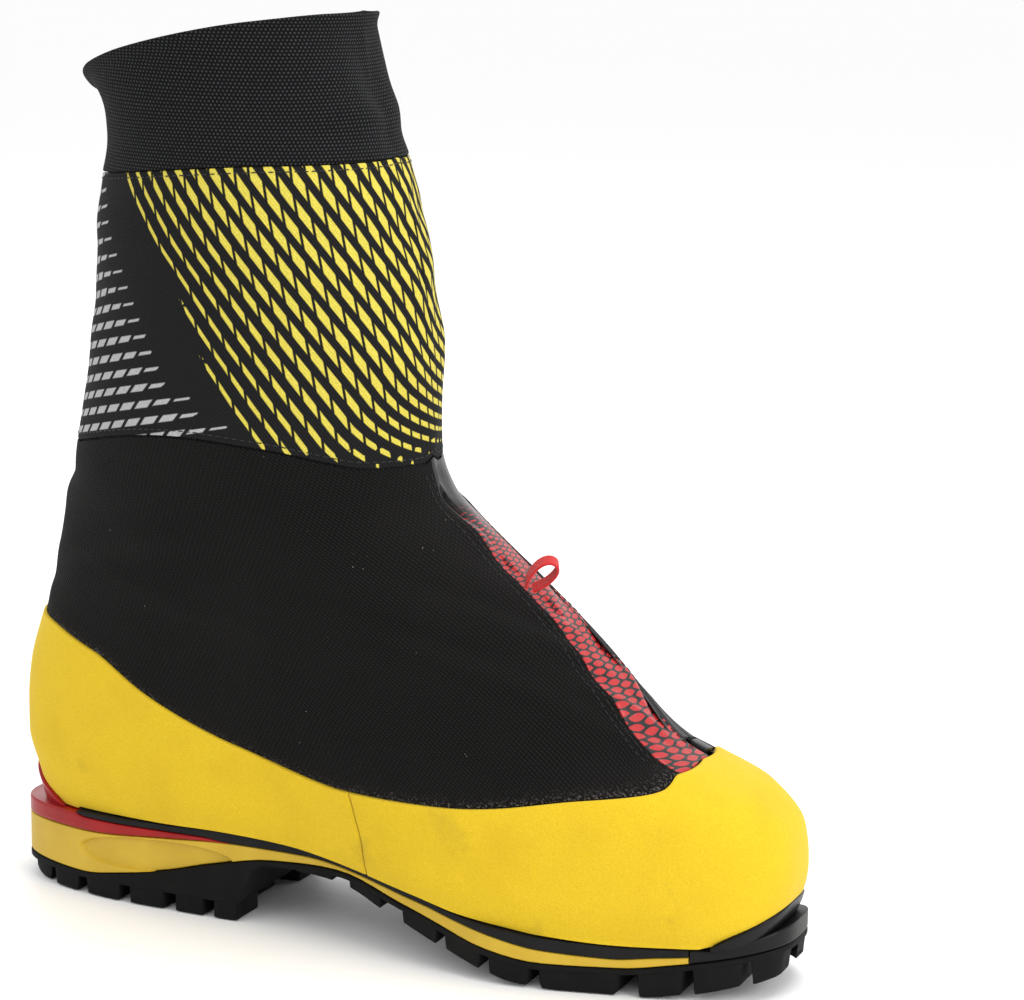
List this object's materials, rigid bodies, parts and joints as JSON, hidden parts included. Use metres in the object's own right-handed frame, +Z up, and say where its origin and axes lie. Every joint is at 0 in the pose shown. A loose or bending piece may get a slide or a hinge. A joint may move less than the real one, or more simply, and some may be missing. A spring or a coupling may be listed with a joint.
{
  "type": "mountaineering boot",
  "caption": "Left mountaineering boot: laced insulated inner boot inside a zipped full gaiter with knit collar, on a stiff lug sole with heel and toe crampon ledges.",
  "frame": {"origin": "on the ground under the middle of the sole's outline box, level with the flat treads of the heel and ball", "axes": "+X from heel to toe, +Y to the outer side of the left foot, +Z up"},
  "size_m": [0.314, 0.1034, 0.334],
  "materials": {
    "sole_rubber": "matt black lug rubber",
    "wedge_foam": "yellow moulded foam with fine grain",
    "frame_plastic": "dark grey moulded plastic",
    "heel_plastic": "glossy red plastic",
    "toe_plastic": "satin black plastic",
    "rand": "yellow abrasion-resistant coated fabric with a fine napped grain",
    "gaiter_fabric": "black stretch fabric with a fine diagonal weave",
    "instep_film": "laminated black fabric with a red lozenge print",
    "shaft_print": "black stretch fabric with a yellow and silver lozenge print",
    "collar_knit": "black knit with small grey dots",
    "elastic": "black elastic band",
    "zip_tape": "black laminated zip tape",
    "zip_teeth": "black plastic zip teeth",
    "zip_metal": "black enamelled metal",
    "puller_plastic": "black moulded plastic",
    "loop_webbing": "red woven webbing",
    "board": "carbon reinforced board",
    "footbed_felt": "grey felt",
    "inner_fabric": "dark grey laminated fabric",
    "lining_fleece": "grey fleece",
    "tongue_pad": "dark grey padded fabric",
    "cuff_knit": "black knit",
    "stiffener": "off-white thermoplastic sheet",
    "lace_cord": "dark red braided cord",
    "lock_plastic": "black plastic",
    "button_plastic": "red plastic",
    "tab_webbing": "red woven webbing",
    "lace_webbing": "grey woven webbing"
  },
  "bodies": {
    "boot": {"outsole": "sole_rubber", "midsole_wedge": "wedge_foam", "welt_frame": "frame_plastic", "heel_insert": "heel_plastic", "toe_insert": "toe_plastic", "heel_rand": "rand", "toe_rand": "rand", "gaiter_inner_side": "gaiter_fabric", "gaiter_outer_side": "gaiter_fabric", "instep_panel": "instep_film", "shaft_panel_inner_side": "shaft_print", "shaft_panel_outer_side": "shaft_print", "collar": "collar_knit", "collar_elastic": "elastic", "zip_tape_front": "zip_tape", "zip_tape_rear": "zip_tape", "zip_teeth_front": "zip_teeth", "zip_teeth_rear": "zip_teeth", "zip_bottom_stop": "zip_teeth", "lasting_board": "board", "footbed": "footbed_felt", "inner_quarters": "inner_fabric", "inner_vamp": "inner_fabric", "inner_lining": "lining_fleece", "inner_tongue": "tongue_pad", "inner_cuff": "cuff_knit", "heel_counter": "stiffener", "toe_puff": "stiffener", "lace": "lace_cord", "heel_pull_tab": "tab_webbing", "lace_loop_inner_1": "lace_webbing", "lace_loop_inner_2": "lace_webbing", "lace_loop_inner_3": "lace_webbing", "lace_loop_inner_4": "lace_webbing", "lace_loop_outer_1": "lace_webbing", "lace_loop_outer_2": "lace_webbing", "lace_loop_outer_3": "lace_webbing", "lace_loop_outer_4": "lace_webbing"},
    "slider": {"zip_slider": "zip_metal"},
    "puller": {"zip_puller": "puller_plastic"},
    "loop": {"finger_loop": "loop_webbing"},
    "cord_lock": {"lace_lock": "lock_plastic"},
    "lock_button": {"lace_lock_button": "button_plastic"}
  },
  "joints": [
    {"name": "zip_slide", "type": "slide", "parent": "boot", "child": "slider", "axis": [0.0942, 0.0161, -0.9954], "range_m": [0, 0.068]},
    {"name": "zip_pull_swing", "type": "hinge", "parent": "slider", "child": "puller", "pos_m": [-0.01751, 0.04107, 0.26998], "axis": [0.8461, -0.5282, 0.0716], "range_deg": [0, 150]},
    {"name": "finger_loop_flex", "type": "hinge", "parent": "boot", "child": "loop", "pos_m": [0.05451, -0.00739, 0.13323], "axis": [-0.7833, 0.045, 0.62], "range_deg": [-25, 25], "stiffness_Nm_per_rad": 0.004},
    {"name": "lace_lock_slide", "type": "slide", "parent": "boot", "child": "cord_lock", "axis": [0.0005, 0, 1], "range_m": [0, 0.014]},
    {"name": "lock_button_press", "type": "slide", "parent": "cord_lock", "child": "lock_button", "axis": [-1, 0, 0.0005], "range_m": [0, 0.0024], "stiffness_N_per_m": 300}
  ]
}
